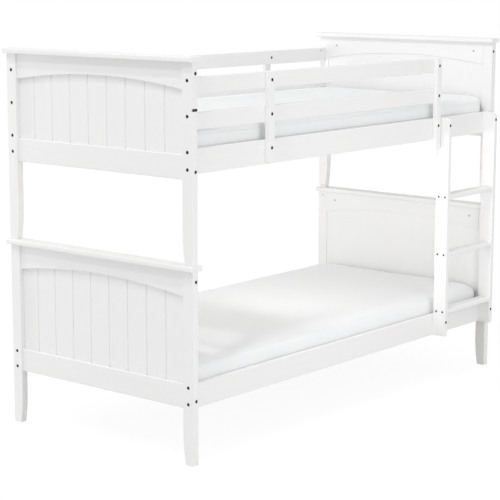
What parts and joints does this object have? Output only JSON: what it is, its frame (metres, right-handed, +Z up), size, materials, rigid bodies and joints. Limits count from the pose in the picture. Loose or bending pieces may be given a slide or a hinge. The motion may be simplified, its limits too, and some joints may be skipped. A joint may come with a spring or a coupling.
{
  "type": "bunk bed with ladder",
  "caption": "White painted wood bunk bed with arched, grooved end panels, guard boards, a bolted ladder and mattresses that lift out.",
  "frame": {"origin": "middle of the bed's footprint, on the floor under the feet", "axes": "+X runs along the bed towards the ladder end, +Y from the ladder side to the wall side, +Z up"},
  "size_m": [2.116, 1.029, 1.516],
  "materials": {
    "painted_wood": "white satin paint over wood",
    "slat_wood": "planed bare pine",
    "mattress_fabric": "white woven cotton cover",
    "dark_steel": "black-bronze plated screws and bolts",
    "zinc_steel": "zinc plated",
    "black_mark": "black painted mark"
  },
  "bodies": {
    "bed_frame": {"lower_front_left_post": "painted_wood", "lower_front_right_post": "painted_wood", "lower_rear_left_post": "painted_wood", "lower_rear_right_post": "painted_wood", "lower_left_cap": "painted_wood", "lower_left_top_rail": "painted_wood", "lower_left_panel": "painted_wood", "lower_left_bottom_rail": "painted_wood", "lower_right_cap": "painted_wood", "lower_right_top_rail": "painted_wood", "lower_right_panel": "painted_wood", "lower_right_bottom_rail": "painted_wood", "lower_front_side_rail": "painted_wood", "lower_front_ledger": "painted_wood", "lower_rear_side_rail": "painted_wood", "lower_rear_ledger": "painted_wood", "lower_slats": "slat_wood", "upper_front_left_post": "painted_wood", "upper_front_right_post": "painted_wood", "upper_rear_left_post": "painted_wood", "upper_rear_right_post": "painted_wood", "upper_left_cap": "painted_wood", "upper_left_top_rail": "painted_wood", "upper_left_panel": "painted_wood", "upper_left_bottom_rail": "painted_wood", "upper_right_cap": "painted_wood", "upper_right_top_rail": "painted_wood", "upper_right_panel": "painted_wood", "upper_right_bottom_rail": "painted_wood", "upper_front_side_rail": "painted_wood", "upper_front_ledger": "painted_wood", "upper_rear_side_rail": "painted_wood", "upper_rear_ledger": "painted_wood", "upper_slats": "slat_wood", "front_guard_top_board": "painted_wood", "front_guard_lower_board": "painted_wood", "rear_guard_top_board": "painted_wood", "rear_guard_lower_board": "painted_wood", "front_guard_middle_post": "painted_wood", "front_guard_end_post": "painted_wood", "rear_guard_left_post": "painted_wood", "rear_guard_right_post": "painted_wood", "ladder_left_stile": "painted_wood", "ladder_right_stile": "painted_wood", "ladder_top_rung": "painted_wood", "ladder_middle_rung": "painted_wood", "ladder_bottom_rung": "painted_wood", "end_frame_bolts": "dark_steel", "side_rail_bolts": "dark_steel", "guard_board_bolts": "dark_steel", "guard_post_bolts": "dark_steel", "ladder_bolts": "dark_steel", "cap_nuts": "dark_steel", "rung_screws": "dark_steel", "stacking_screws": "dark_steel", "barrel_nuts": "zinc_steel", "stacking_pins": "zinc_steel", "mattress_height_mark": "black_mark"},
    "lower_mattress": {"lower_mattress": "mattress_fabric"},
    "upper_mattress": {"upper_mattress": "mattress_fabric"}
  },
  "joints": [
    {"name": "lower_mattress_lift", "type": "slide", "parent": "bed_frame", "child": "lower_mattress", "axis": [0, 0, 1], "range_m": [0, 0.12]},
    {"name": "upper_mattress_lift", "type": "slide", "parent": "bed_frame", "child": "upper_mattress", "axis": [0, 0, 1], "range_m": [0, 0.2]}
  ]
}
